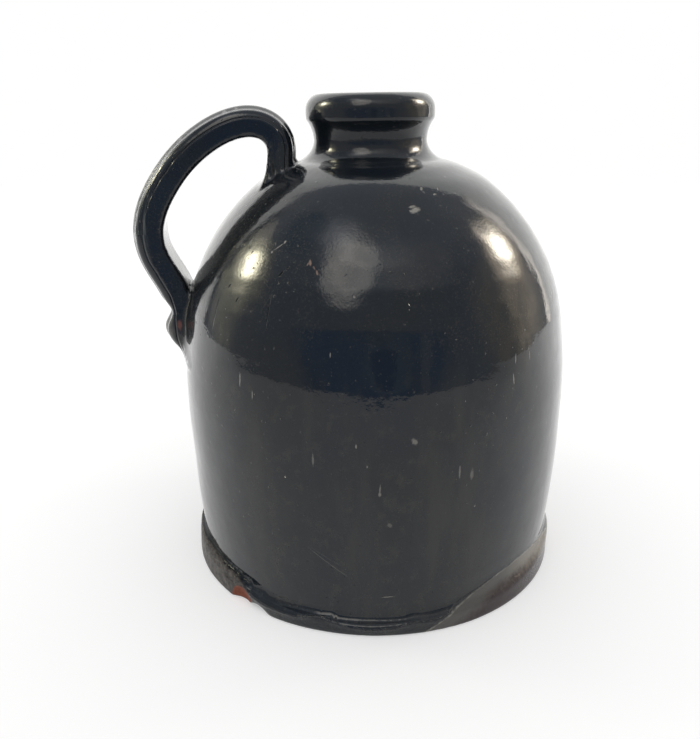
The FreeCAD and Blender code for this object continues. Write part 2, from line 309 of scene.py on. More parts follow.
# the foot, round the jug: how high the glaze stops, how proud the flange below it stands and how
# high it reaches, the edge of the bare clay on the right, how softly the flange meets the wall,
# the glaze's bead, and where the foot is crinkled (1) or smooth (0)
GLAZE_EDGE = Around([
    (-90, 12.5), (-66, 12.0), (-54, 11.0), (-45, 9.6), (-41, 9.2), (-37, 5.2), (-31, 4.4),
    (-22, 4.4), (-14, 6.4), (-8, 4.0), (0, 3.1), (7, 3.8), (12, 5.6), (17, 4.6), (22, 6.0),
    (25, 9.4), (31, 11.9), (38, 14.4), (48, 16.4), (58, 16.0), (75, 11.5), (100, 9.0),
    (130, 12.0), (160, 8.5), (190, 9.5), (230, 14.0)], blur=1.6)
FLANGE_STEP = Around([
    (-90, 3.0), (-66, 3.0), (-45, 2.9), (-38, 2.7), (-22, 2.6), (0, 2.5), (14, 2.4), (25, 2.2),
    (50, 2.0), (75, 1.95), (110, 2.0), (150, 2.2), (190, 2.4), (230, 2.7)])
FLANGE_TOP = Around([
    (-90, 13.0), (-66, 12.2), (-50, 10.4), (-41, 9.2), (-34, 6.6), (-22, 5.6), (-8, 5.2),
    (0, 4.6), (12, 5.4), (20, 5.2), (35, 6.0), (55, 8.0), (75, 10.5), (110, 9.0), (150, 7.5),
    (190, 9.5), (230, 12.0)], blur=3.0)
RIGHT_EDGE = Around([
    (-180, -6), (6, -6), (12, -1.5), (16, 1.0), (20, 4.2), (25, 7.4), (31, 10.8), (38, 14.2),
    (48, 16.4), (58, 16.0), (75, 11.5), (100, 9.0), (130, 12.0), (142, 4.0), (150, -6)], blur=1.2)
FOOT_BLEND = Around([(-180, 2.2), (-60, 1.3), (-40, 1.3), (-34, 2.4), (15, 3.0), (25, 6.0),
                     (90, 6.5), (150, 3.0)], blur=4.0)
BEAD = Around([(-180, 0.15), (-44, 0.15), (-36, 0.5), (-30, 0.6), (12, 0.5), (20, 0.25), (26, 0.1),
               (120, 0.1), (150, 0.4)], blur=3.0)
LEFT_FOOT = Around([(-180, 1), (-42, 1), (-37, 0), (150, 0), (172, 1)], blur=1.0)
FOOT_RADIUS, FOOT_INNER_RADIUS = 75.5, 72.9
# balls that bite the foot: azimuth, distance from the axis, height, radius
CHIP_RADIUS, CHIP_DEPTH = 9.0, 2.4
CHIP = (-41.3, FOOT_RADIUS + CHIP_RADIUS - CHIP_DEPTH, 0.8, CHIP_RADIUS)
WORN_HOLLOW = (-35.6, 79.5, -6.5, 10.0)


def bite(points, ball):
    """Distance to a ball that takes clay off the foot: the chip, or the worn hollow beside it."""
    azimuth, reach, height, radius = ball
    cosine, sine = turned(CAMERA_AZIMUTH + azimuth)
    centre = np.array((reach * cosine, reach * sine, height))
    return np.linalg.norm(points - centre, axis=1) - radius


# throwing rings and the slow unevenness of a hand-thrown wall
rng = np.random.default_rng(7)
WAVE_COUNT = 36
RING_PITCH, CROSSING_PITCH, CROSSING_TILT = 6.5, 10.3, 1.4
RING_DEPTH, SHOULDER_RING_DEPTH, SLOW_DEPTH, FINE_DEPTH = 0.012, 0.035, 0.10, 0.007


def random_waves(count, shortest, longest):
    """Directions and phases of plane waves with lengths between two sizes, in mm."""
    way = rng.normal(size=(count, 3))
    way /= np.linalg.norm(way, axis=1)[:, None]
    length = np.exp(rng.uniform(math.log(shortest), math.log(longest), count))
    return way * (2 * math.pi / length)[:, None], rng.uniform(0, 2 * math.pi, count), length


slow_waves = random_waves(WAVE_COUNT, 18.0, 60.0)
fine_waves = random_waves(WAVE_COUNT, 5.0, 14.0)


def waviness(points, waves):
    """A sum of plane waves, each as tall as it is long, scaled to about one."""
    numbers, phases, lengths = waves
    total = np.zeros(len(points))
    for number, phase, length in zip(numbers, phases, lengths / lengths.mean()):
        total += length * np.sin(points @ number + phase)
    return total / math.sqrt(len(phases))


def hand_marks(points, radius, azimuth):
    """How far the surface stands off the turned form: throwing rings and an uneven wall."""
    height = points[:, 2]
    spiral = height + azimuth / 360.0 * RING_PITCH
    tilted = height + CROSSING_TILT * np.sin(np.radians(azimuth + 40.0))
    rings = (0.55 * np.sin(spiral * 2 * math.pi / RING_PITCH + 0.8 * np.sin(height / 9.0))
             + 0.45 * np.sin(tilted * 2 * math.pi / CROSSING_PITCH + 1.1))
    ring_depth = RING_DEPTH + SHOULDER_RING_DEPTH * bump(height, 118.0, 22.0)
    slow = SLOW_DEPTH * np.tanh(waviness(points, slow_waves))
    fine = FINE_DEPTH * waviness(points, fine_waves)
    flatter_side = -0.35 * bump(azimuth, -85.0, 40.0) * bump(height, 58.0, 22.0)
    flatter_top = (0.12 * bump(radius, 43.5, 4.0) - 0.16 * bump(radius, 35.5, 3.5)) * (height > 140)
    return rings * ring_depth + slow + fine + flatter_side + flatter_top


FOOT_SHIFT = 0.4                       # the foot stands this far to the right of the body
WALL_EASE, STRAP_EASE = 0.16, 0.05     # taken in, so that the marks stay inside the CAD solid
FOOT_TOP, COLLAR_FLOOR, BORE_FLOOR = 40.0, 140.0, 120.0
STRAP_ZONE = (-24.0, 24.0, 78.0)       # beyond these in x, |y| and height there is no strap
ROOT_CREASE = ((-37.6, 1.1), (157.0, 7.0))
# how softly the parts meet
FLANGE_ROUND, BORE_COVE, CLAY_ROUND, BASE_ROUND = 1.6, 10.0, 1.0, 1.0
HOLLOW_ROUND, CHIP_ROUND = 1.5, 0.35


def jug_field(points):
    """Distance to the finished jug's surface."""
    height = points[:, 2]
    low_down = np.clip((64.0 - height) / 22.0, 0, 1)
    sideways = FOOT_SHIFT * low_down * low_down * (3 - 2 * low_down)
    radius = np.hypot(points[:, 0] - sideways, points[:, 1])
    azimuth = azimuth_of(points)
    collar_radius, collar_height = to_collar(points)

    outside = wall(radius, height, 0.0)
    low = height < FOOT_TOP
    step = FLANGE_STEP(azimuth)
    foot_wall = np.interp(height, (0.0, 9.0, 13.0), (0.0, 0.35, 0.9))
    flange_wall = radius - (FOOT_INNER_RADIUS + step) + foot_wall
    flange = soft_max(flange_wall, height - FLANGE_TOP(azimuth), FLANGE_ROUND)
    edge_height = GLAZE_EDGE(azimuth)
    bead = BEAD(azimuth) * bump(height, edge_height, 1.2)
    tooled = 0.4 * LEFT_FOOT(azimuth) * (bump(height, edge_height - 1.9, 0.45)
                                         + bump(height, edge_height - 3.3, 0.45))
    foot = soft_min(outside, flange, FOOT_BLEND(azimuth)) - bead + tooled
    outside = np.where(low, foot, outside)
    outside = outside - hand_marks(points, radius, azimuth) + WALL_EASE

    collar = np.maximum(neck(collar_radius, collar_height), COLLAR_FLOOR - height)
    outside = round_union(outside, collar, NECK_COVE)

    near_strap = ((points[:, 0] < STRAP_ZONE[0]) & (np.abs(points[:, 1]) < STRAP_ZONE[1])
                  & (height > STRAP_ZONE[2]))
    if near_strap.any():
        across, up = points[near_strap, 0], height[near_strap]
        crease = 0.5 * bump(across, *ROOT_CREASE[0]) * bump(up, *ROOT_CREASE[1])
        handle = strap(points[near_strap]) + STRAP_EASE + crease
        blend = 1.6 + 2.0 * bump(up, 96.0, 14.0)
        outside[near_strap] = soft_min(outside[near_strap], handle, blend)

    floor = round_common(wall(radius, height, WALL_THICKNESS), FLOOR_THICKNESS - height, FLOOR_COVE)
    channel = np.maximum(bore(collar_radius, collar_height), BORE_FLOOR - height)
    inside = round_union(floor, channel, BORE_COVE)
    clay = soft_max(outside, -inside, CLAY_ROUND)
    clay = soft_max(clay, -bite(points, WORN_HOLLOW), HOLLOW_ROUND)
    clay = soft_max(clay, -bite(points, CHIP), CHIP_ROUND)
    return soft_max(clay, -height, BASE_ROUND)


SLOPE_REACH = 0.05                     # of the differences that give the field's slope, mm
FLATTEST, LONGEST_STEP = 0.05, 0.5     # the least squared slope and the longest step, mm


def gradient(points):
    """The field's slope by central differences."""
    slope = np.empty_like(points)
    for axis in range(3):
        shift = np.zeros(3)
        shift[axis] = SLOPE_REACH
        slope[:, axis] = (jug_field(points + shift) - jug_field(points - shift)) / (2 * SLOPE_REACH)
    return slope


def settle(points, rounds):
    """Moves points onto the field's surface by short Newton steps."""
    for _ in range(rounds):
        slope = gradient(points)
        steep = np.maximum((slope ** 2).sum(axis=1), FLATTEST)
        move = slope * (jug_field(points) / steep)[:, None]
        far = np.maximum(np.linalg.norm(move, axis=1) / LONGEST_STEP, 1.0)
        points = points - move / far[:, None]
    return points


# ---------------------------------------------------------------------------
# The mesh
# ---------------------------------------------------------------------------
VOXEL = 1.05                           # the first even remesh, mm
TRIANGLES = 176000                     # kept after the calm stretches are thinned


def vertices_of(mesh):
    """The vertices in the field's units."""
    flat = np.empty(len(mesh.vertices) * 3)
    mesh.vertices.foreach_get("co", flat)
    return flat.reshape(-1, 3) / SCALE


def place_vertices(mesh, points):
    mesh.vertices.foreach_set("co", (points * SCALE).ravel())
    mesh.update()


def with_modifier(thing, kind, **settings):
    """A new mesh, as the thing looks with one modifier on it."""
    modifier = thing.modifiers.new(kind.lower(), kind)
    for name, value in settings.items():
        setattr(modifier, name, value)
    graph = bpy.context.evaluated_depsgraph_get()
    mesh = bpy.data.meshes.new_from_object(thing.evaluated_get(graph))
    thing.modifiers.remove(modifier)
    return mesh


def add_values(mesh, name, values):
    """Keeps one number per vertex for the material."""
    attribute = mesh.attributes.new(name, "FLOAT", "POINT")
    attribute.data.foreach_set("value", values.astype(np.float32))


def make_jug():
    """The CAD solid, remeshed and settled onto the field, with values for its material."""
    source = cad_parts["jug"]
    jug = bpy.data.objects.new("jug_glazed", source.data.copy())
    bpy.context.scene.collection.objects.link(jug)
    jug.data = with_modifier(jug, "REMESH", mode="VOXEL", voxel_size=VOXEL * SCALE)
    place_vertices(jug.data, settle(vertices_of(jug.data), 4))
    faces = sum(len(face.vertices) - 2 for face in jug.data.polygons)
    jug.data = with_modifier(jug, "DECIMATE", ratio=TRIANGLES / faces)
    points = settle(vertices_of(jug.data), 3)
    place_vertices(jug.data, points)
    slope = gradient(points)
    normals = slope / np.linalg.norm(slope, axis=1)[:, None]
    jug.data.shade_smooth()
    jug.data.normals_split_custom_set_from_vertices(normals)

    azimuth = azimuth_of(points)
    add_values(jug.data, "above_glaze_edge", points[:, 2] - GLAZE_EDGE(azimuth))
    add_values(jug.data, "above_right_edge", points[:, 2] - RIGHT_EDGE(azimuth))
    add_values(jug.data, "left_foot", LEFT_FOOT(azimuth))
    add_values(jug.data, "from_chip", bite(points, CHIP))
    add_values(jug.data, "strap_outward", strap_frame(points)[2])
    add_values(jug.data, "on_strap", np.clip(1.5 - strap(points), 0, 1) * (points[:, 0] < -30))
    return jug


# ---------------------------------------------------------------------------
# Shader graphs
# ---------------------------------------------------------------------------
class Graph:
    """Short names for the nodes of one material or of the world."""

    def __init__(self, owner):
        owner.use_nodes = True
        self.tree = owner.node_tree
        self.tree.nodes.clear()

    def node(self, kind, inputs=(), **settings):
        node = self.tree.nodes.new("ShaderNode" + kind)
        for name, value in settings.items():
            setattr(node, name, value)
        for socket, value in dict(inputs).items():
            self.feed(node.inputs[socket], value)
        return node

    def feed(self, socket, value):
        if isinstance(value, bpy.types.NodeSocket):
            self.tree.links.new(value, socket)
        elif socket.type == "RGBA" and len(value) == 3:
            socket.default_value = (*value, 1)
        else:
            socket.default_value = value

    def math(self, operation, *values):
        return self.node("Math", enumerate(values), operation=operation).outputs[0]

    def vector(self, operation, *values):
        node = self.node("VectorMath", enumerate(values), operation=operation)
        return node.outputs["Value" if operation in ("DOT_PRODUCT", "LENGTH", "DISTANCE") else 0]

    def ramp(self, value, start, end, low=0.0, high=1.0):
        """A smooth step from low to high as value goes from start to end."""
        node = self.node("MapRange", {0: value, 1: start, 2: end, 3: low, 4: high},
                         interpolation_type="SMOOTHSTEP")
        return node.outputs[0]

    def noise(self, where, scale, detail=3.0, roughness=0.5):
        node = self.node("TexNoise", {"Vector": where, "Scale": scale, "Detail": detail,
                                      "Roughness": roughness})
        return node.outputs["Fac"]

    def near(self, where, place, far, close):
        """1 within close of a place, 0 beyond far."""
        return self.ramp(self.vector("DISTANCE", where, place), far, close)

    def mix(self, factor, one, two):
        """Colour one where factor is 0, colour two where it is 1."""
        node = self.node("Mix", {0: factor, 6: one, 7: two}, data_type="RGBA")
        return node.outputs[2]

    def blend(self, factor, one, two):
        node = self.node("Mix", {0: factor, 2: one, 3: two}, data_type="FLOAT")
        return node.outputs[0]

    def value(self, name):
        return self.node("Attribute", attribute_name=name).outputs["Fac"]

    def gather(self, operation, values):
        result = values[0]
        for value in values[1:]:
            result = self.math(operation, result, value)
        return result

    def total(self, *values):
        return self.gather("ADD", values)

    def product(self, *values):
        return self.gather("MULTIPLY", values)

    def most(self, *values):
        return self.gather("MAXIMUM", values)


def srgb(red, green, blue):
    """Linear colour from the 0-255 values seen on a screen."""
    return tuple((c / 255 / 12.92 if c < 11 else ((c / 255 + 0.055) / 1.055) ** 2.4)
                 for c in (red, green, blue))


def direction(side, elevation):
    """The unit vector towards a place, by its side (0 faces the camera) and its rise, degrees."""
    angle, rise = math.radians(CAMERA_AZIMUTH + side), math.radians(elevation)
    return Vector((math.cos(angle) * math.cos(rise), math.sin(angle) * math.cos(rise),
                   math.sin(rise)))


def on_wall(side, height):
    """The point of the body's outer wall at that side and height."""
    angle = math.radians(CAMERA_AZIMUTH + side)
    way = np.array((math.cos(angle), math.sin(angle)))
    near, far = 20.0, 90.0
    for _ in range(24):
        middle = (near + far) / 2
        inside = wall(np.array([middle]), np.array([height]), 0.0)[0] < 0
        near, far = (middle, far) if inside else (near, middle)
    return (near * way[0], near * way[1], height)


# marks on the glaze: side, height on the wall, half width, half height (mm), turn, strength;
# pale chips, scuffs and drips, among them painted glints, then scars down to the clay, then dark
# cracks
PALE_MARKS_AND_GLINTS = (
    (15.8, 146.4, 1.0, 2.5, 76, 0.75), (15.0, 147.4, 0.5, 1.6, 80, 0.6),
    (-31.3, 135.0, 0.25, 2.8, 53, 0.7), (-33.1, 133.3, 0.5, 0.5, 0, 1.0),
    (-29.6, 136.6, 0.5, 0.7, 20, 1.0),
    (-5.1, 122.3, 0.8, 0.6, 30, 0.5), (-10.6, 104.7, 0.3, 1.0, 0, 0.5),
    (-36.6, 91.8, 0.45, 3.2, 0, 0.5), (-32.2, 87.8, 0.4, 1.8, 0, 0.4),
    (1.9, 59.0, 0.4, 3.2, 3, 0.4), (40.0, 98.5, 0.3, 2.0, 5, 0.6),
    (39.0, 92.0, 0.4, 2.2, -5, 0.55), (46.0, 98.0, 0.25, 2.0, 0, 0.45),
    (22.0, 152.3, 0.4, 0.9, 60, 0.6), (27.0, 150.6, 0.3, 0.9, 80, 0.5),
    (30.0, 152.0, 0.3, 0.7, 40, 0.5), (1.9, 57.5, 0.7, 1.2, 0, 0.5),
    (10.3, 76.3, 1.8, 1.3, 60, 0.45), (-4.0, 74.9, 0.4, 1.1, 0, 0.6),
    (-1.3, 67.8, 0.4, 0.9, 0, 0.45), (22.5, 63.2, 0.5, 3.4, 0, 0.4),
    (26.1, 61.4, 1.0, 2.8, 0, 0.32), (-14.9, 68.9, 0.5, 3.2, 0, 0.35),
    (-22.7, 60.8, 0.5, 0.5, 0, 0.9), (27.7, 48.7, 0.5, 0.5, 0, 0.4),
    (4.5, 45.6, 1.4, 1.0, 50, 0.25), (-11.8, 29.0, 0.3, 11.0, -53, 0.22),
    (-12.5, 31.5, 0.2, 8.0, -60, 0.15), (4.4, 15.6, 0.4, 3.0, 88, 0.5))
SCARS = (
    (-18.9, 131.4, 0.6, 1.4, -20, 0.7), (-19.5, 131.0, 0.35, 0.8, 30, 0.6),
    (-17.4, 130.0, 0.4, 0.9, -40, 0.4), (-16.2, 128.6, 0.5, 1.1, -30, 0.6))
CRACKS = (
    (-27.5, 127.5, 0.5, 1.6, 40, 0.8), (-25.8, 129.3, 0.4, 1.0, 30, 0.8),
    (-46.0, 121.0, 0.4, 1.2, 30, 0.8),
    (-29.0, 116.0, 0.25, 6.0, 0, 0.9), (-41.0, 117.5, 0.35, 1.5, 30, 0.9),
    (-49.5, 112.0, 0.25, 7.0, 3, 0.7))
MARK_DEPTH = 12.0                      # keeps a mark off the far side of the wall, mm
LOOP_CENTRE = (-47.0, 0.0, 134.0)      # the middle of the handle's loop
STRAP_KNOB = (-80.5, -7.5, 96.0)       # the worn end of the strap
RUSTY_SPOT = (-75.9, -11.7, 99.8)
# places on the wall: side, height
# the first is where brown streaks of painted warm glow sit below the right highlight
RIGHT_GLOW_PLACE = (53.0, 112.0)
PITTED_GLAZE = (-35.0, 129.0)
# colours, linear
BLUE_BLACK, PLAIN_BLACK = (0.0034, 0.0070, 0.0118), (0.0050, 0.0070, 0.0094)
# the second is the brown of a painted warm glow
HAZE, GLOW_BROWN = (0.0170, 0.0176, 0.0178), (0.0230, 0.0180, 0.0120)
SPECK, BROWN_GRAIN = (0.060, 0.062, 0.060), (0.034, 0.030, 0.026)
# the strap's grey-green is partly wear and partly a painted sheen on its outer bead
WORN_AND_SHEEN_STRAP, CRACK = (0.082, 0.091, 0.089), (0.002, 0.003, 0.004)
# the first pale is that of real chips and scuffs and also of the painted glints among them
PALE_AND_GLINT, PALE_LINE, SCAR = srgb(150, 147, 140), srgb(150, 148, 138), srgb(146, 124, 112)
LEFT_FOOT_TONES = srgb(60, 56, 54), srgb(98, 94, 90)
# the right foot's second tone is a painted sheen towards its far right side
RIGHT_FOOT_TONE_AND_SHEEN = srgb(82, 80, 77), srgb(134, 128, 118)
RIGHT_FOOT_BELOW = srgb(52, 41, 43)
CLAY_TONES = srgb(96, 54, 44), srgb(164, 104, 86)


def marked(g, where, grain, places):
    """Where the marks of a list lie, each an oval with a ragged edge."""
    masks = []
    for side, height, wide, tall, turn, strength in places:
        outward, lean = direction(side, 0), math.radians(turn)
        across, up = direction(side + 90, 0), Vector((0, 0, 1))
        long_way = up * math.cos(lean) + across * math.sin(lean)
        wide_way = across * math.cos(lean) - up * math.sin(lean)
        offset = g.vector("SUBTRACT", where, on_wall(side, height))
        u, v, w = (g.vector("DOT_PRODUCT", offset, tuple(axis / reach)) for axis, reach in
                   ((wide_way, wide), (long_way, tall), (outward, MARK_DEPTH)))
        size = g.vector("LENGTH", g.node("CombineXYZ", {0: u, 1: v, 2: w}).outputs[0])
        size = g.math("MULTIPLY_ADD", grain, 0.9, size)
        masks.append(g.ramp(size, 1.35, 0.85, 0.0, strength))
    return g.most(*masks)


def glaze_colour(g, where, height, mottle):
    """Blue-black, paler and mottled low down, with brown streaks of painted warm glow below the
    right highlight, grainy on the dome.
    """
    upright = g.vector("MULTIPLY", where, (1, 1, 0.22))
    cloud = g.noise(where, 0.028, 3.0, 0.55)
    colour = g.mix(g.ramp(cloud, 0.40, 0.62), BLUE_BLACK, PLAIN_BLACK)
    smear = g.most(g.ramp(mottle, 0.44, 0.72), g.ramp(g.noise(where, 0.19, 5.0, 0.7), 0.48, 0.70))
    haze = g.product(smear, g.blend(g.ramp(height, 104.0, 84.0), 0.12, 1.0))
    colour = g.mix(haze, colour, HAZE)
    streak = g.ramp(g.noise(upright, 0.16, 4.0, 0.65), 0.35, 0.70)
    # painted warm glow: brown streaks below the right highlight
    warm_glow = g.product(g.near(where, on_wall(*RIGHT_GLOW_PLACE), 34.0, 6.0), streak)
    colour = g.mix(warm_glow, colour, GLOW_BROWN)
    speck = g.ramp(g.noise(where, 2.0, 1.0, 0.5), 0.68, 0.80)
    colour = g.mix(g.product(speck, 0.5), colour, SPECK)
    on_dome = g.product(g.ramp(height, 96.0, 110.0), g.ramp(height, 156.0, 148.0))
    grainy = g.product(g.ramp(g.noise(where, 1.1, 3.0, 0.65), 0.50, 0.72),
                       g.ramp(mottle, 0.42, 0.62, 0.15, 0.65), on_dome)
    return g.mix(grainy, colour, BROWN_GRAIN)


def handle_wear_and_sheen(g, where):
    """Streaks along the handle's outer side: wear with a painted sheen on the outer bead for its
    colour, and wear alone for its relief.
    """
    from_loop = g.vector("SUBTRACT", where, LOOP_CENTRE)
    loop = g.node("SeparateXYZ", {0: from_loop}).outputs
    out = g.vector("LENGTH", g.vector("MULTIPLY", from_loop, (1, 0, 1)))
    along = g.product(g.math("ARCTAN2", loop[2], loop[0]), 3.0)
    wear = g.noise(g.node("CombineXYZ", {0: out, 1: loop[1], 2: along}).outputs[0], 0.9, 3.0, 0.6)
    outer_side = g.product(g.ramp(out, 36.0, 39.0), g.ramp(loop[0], -18.0, -26.0),
                           g.ramp(loop[2], -12.0, 4.0))
    # worn streaks on the outer bead, tinted grey-green as a painted sheen as well
    worn_and_sheen = g.product(g.ramp(wear, 0.42, 0.66), outer_side, g.ramp(out, 37.5, 39.5))
    return worn_and_sheen, g.product(wear, outer_side)


def foot_colours(g, where, ragged):
    """The crinkled left foot, the bare right foot, paler towards its far right as a painted sheen,
    and how much the pale line above it shows.
    """
    tone = g.noise(where, 0.35, 5.0, 0.65)
    left = g.mix(g.ramp(tone, 0.35, 0.7), *LEFT_FOOT_TONES)
    above_edge = g.value("above_right_edge")
    # painted sheen: the bare right foot turns paler towards its far right side
    sheen_far_right = g.ramp(g.vector("DOT_PRODUCT", where, tuple(direction(90, 0))), 46.0, 64.0)
    right = g.mix(sheen_far_right, *RIGHT_FOOT_TONE_AND_SHEEN)
    under_edge = g.math("MULTIPLY_ADD", tone, 5.0, above_edge)
    right = g.mix(g.ramp(under_edge, -1.0, -6.5), right, RIGHT_FOOT_BELOW)
    from_line = g.math("ABSOLUTE", g.math("MULTIPLY_ADD", ragged, 0.4, above_edge))
    line = g.product(g.ramp(from_line, 0.6, 0.2), g.ramp(tone, 0.40, 0.60, 0.1, 0.5))
    return left, right, line


def make_glaze():
    """Near-black glaze with a clear glossy skin, bare clay at the foot's edge and in the chip."""
    material = bpy.data.materials.new("glaze")
    g = Graph(material)
    where = g.vector("MULTIPLY", g.node("TexCoord").outputs["Object"], (1 / SCALE,) * 3)
    height = g.node("SeparateXYZ", {0: where}).outputs[2]
    mottle = g.noise(g.vector("MULTIPLY", where, (1, 1, 0.22)), 0.075, 5.0, 0.62)
    grain = g.noise(where, 1.1, 3.0, 0.7)

    # where the glaze stops
    ragged = g.math("MULTIPLY_ADD", g.noise(where, 0.55, 4.0, 0.6), 1.6, -0.8)
    above = g.math("ADD", g.value("above_glaze_edge"), ragged)
    left = g.value("left_foot")
    below = g.ramp(above, 0.35, -0.35)
    bare_left = g.product(below, left)
    bare_right = g.math("MULTIPLY_ADD", ragged, 0.4, g.value("above_right_edge"))
    bare_right = g.ramp(bare_right, 0.25, -0.25)
    fresh = g.ramp(g.total(g.value("from_chip"), g.product(ragged, 0.35)), 0.5, 0.1)

    # marks on it; the pale ones are partly painted glints
    knob = g.product(g.near(where, STRAP_KNOB, 9.0, 2.0), g.ramp(mottle, 0.42, 0.66, 0.0, 0.4))
    marks_and_glints = g.most(marked(g, where, grain, PALE_MARKS_AND_GLINTS), knob)
    cracks = marked(g, where, grain, CRACKS)
    scars = marked(g, where, grain, SCARS)
    rusty = g.vector("MULTIPLY", g.vector("SUBTRACT", where, RUSTY_SPOT), (1, 0.7, 0.5))
    rusty = g.math("MULTIPLY_ADD", grain, 1.2, g.vector("LENGTH", rusty))
    rusty = g.ramp(rusty, 2.0, 1.0, 0.0, 0.55)
    worn_and_sheen, worn_relief = handle_wear_and_sheen(g, where)

    left_foot, right_foot, pale_line = foot_colours(g, where, ragged)
    clay = g.mix(g.noise(where, 0.9, 3.0, 0.7), *CLAY_TONES)
    colour = glaze_colour(g, where, height, mottle)
    for amount, tint in (
            (worn_and_sheen, WORN_AND_SHEEN_STRAP), (marks_and_glints, PALE_AND_GLINT), (cracks, CRACK), (scars, SCAR),
            (bare_left, left_foot), (bare_right, right_foot), (pale_line, PALE_LINE),
            (g.most(fresh, rusty), clay)):
        colour = g.mix(amount, colour, tint)

    # relief under the clear skin, mm
    grit = g.product(g.noise(where, 1.1, 2.0, 0.55), g.ramp(height, 96.0, 112.0, 0.012, 0.030))
    crease = g.math("MULTIPLY_ADD", g.noise(where, 0.12, 2.0), 1.2, g.value("strap_outward"))
    crease = g.math("SUBTRACT", g.ramp(crease, 1.9, 2.5), g.ramp(crease, 1.4, 1.9, 0.0, 0.6))
    pitted = g.near(where, on_wall(*PITTED_GLAZE), 22.0, 8.0)
    pits = g.product(g.ramp(g.noise(where, 0.75, 1.5, 0.6), 0.68, 0.78), pitted)
    crinkled = g.product(g.most(bare_left, g.product(below, 0.6)), g.blend(bare_right, 1.0, 0.35))
    relief = g.total(
        g.product(g.noise(where, 0.11, 2.0, 0.45), 0.13),
        grit,
        g.product(g.ramp(g.noise(where, 0.9, 0.0), 0.80, 0.88), 0.12),
        g.product(worn_relief, 0.35),
        g.product(crease, g.value("on_strap"), 0.45),
        g.product(pits, -0.14),
        g.product(crinkled, g.noise(where, 0.8, 5.0, 0.7), 0.7),
        g.product(marks_and_glints, -0.3),
        g.product(cracks, -0.2))
    skin = g.node("Bump", {"Height": relief, "Distance": SCALE, "Strength": 1.0}).outputs[0]

    rolled = g.product(g.ramp(g.math("ABSOLUTE", above), 2.2, 0.9), left)
    dull = g.most(fresh, cracks, g.product(marks_and_glints, 0.85), g.product(bare_left, 0.7),
                  g.product(scars, 0.9), g.product(rolled, 0.8), g.product(bare_right, 0.3))
    glaze = g.node("BsdfPrincipled", {
        "Base Color": colour, "Roughness": 0.45, "IOR": 1.12,
        "Coat Weight": g.blend(dull, 1.0, 0.0), "Coat Roughness": 0.015, "Coat IOR": 1.52,
        "Normal": skin, "Coat Normal": skin})
    g.node("OutputMaterial", {"Surface": glaze.outputs[0]})
    return material


# ---------------------------------------------------------------------------
# The studio: a pale table, a white backdrop, a dim room and two soft lamps
# ---------------------------------------------------------------------------
DIFFUSE_LEVEL = 0.92                   # what the world gives to diffuse light
LOW_ROOM, HIGH_ROOM = (0.34, 0.36, 0.39), (0.52, 0.55, 0.60)
SHEET, SHEET_EDGE, SHEET_FRAME = (1.5, 1.5, 1.47), (3.2, 3.0, 2.75), (0.14, 0.15, 0.17)
# soft patches of the room: side, elevation, half width, half height (degrees), softness, colour
PATCHES = (
    (0.0, 3.0, 46.0, 15.0, 0.35, (0.15, 0.21, 0.34)),
    (9.0, 4.0, 13.0, 12.0, 0.15, (0.22, 0.28, 0.38)),
    (6.0, 2.0, 6.0, 8.0, 0.3, (0.12, 0.16, 0.26)),
    (30.0, 4.0, 3.5, 13.0, 0.3, (0.30, 0.34, 0.42)),
    (-80.0, 56.0, 14.0, 12.0, 0.9, (0.20, 0.27, 0.36)),
    (-22.0, 50.0, 14.0, 19.5, 0.60, (2.45, 2.35, 2.22)),
    (38.0, 50.0, 20.0, 14.0, 0.8, (0.66, 0.65, 0.66)),
    (-99.0, 12.0, 15.0, 20.0, 0.85, (0.95, 0.94, 0.76)),
    (86.0, 12.0, 23.0, 22.0, 0.8, (0.60, 0.55, 0.47)),
    (103.0, 12.0, 16.0, 21.0, 0.85, (1.35, 1.20, 1.00)),
    (-108.0, 38.0, 7.0, 7.0, 0.2, (1.25, 1.20, 1.10)),
    (-97.5, 24.0, 20.0, 16.0, 0.98, (1.25, 1.20, 0.92)),
    (108.0, 26.0, 15.0, 13.0, 0.95, (2.6, 2.2, 1.7)))
# glows added to the room: side, elevation, half width, half height, lean (degrees), colour
GLOWS = (
    (-24.0, 57.0, 8.0, 9.0, 0, (0.70, 0.64, 0.56)),
    (-45.0, 66.0, 9.0, 7.0, 0, (1.40, 1.38, 1.40)),
    (8.0, 56.0, 14.0, 11.0, 0, (0.45, 0.45, 0.44)),
    (-97.2, 27.3, 5.9, 6.5, -29, (29.0, 27.5, 20.0)),
    (110.0, 28.5, 6.2, 6.0, -18, (28.0, 25.5, 21.0)),
    (106.0, 38.5, 4.0, 4.0, 0, (6.0, 5.2, 4.2)))


def distance_in_room(g, way, side, elevation, wide, tall, lean, power):
    """How far a way points from a place in the room (1 at its edge), and whether it lies ahead."""
    middle, across = direction(side, elevation), direction(side + 90, 0)
    upward = middle.cross(across) * -1
    cosine, sine = math.cos(math.radians(lean)), math.sin(math.radians(lean))
    parts = []
    for axis, reach in ((across * cosine - upward * sine, wide),
                        (upward * cosine + across * sine, tall)):
        part = g.vector("DOT_PRODUCT", way, tuple(axis / math.sin(math.radians(reach))))
        parts.append(g.math("POWER", g.math("ABSOLUTE", part), power))
    ahead = g.ramp(g.vector("DOT_PRODUCT", way, tuple(middle)), 0.0, 0.1)
    return g.total(*parts), ahead


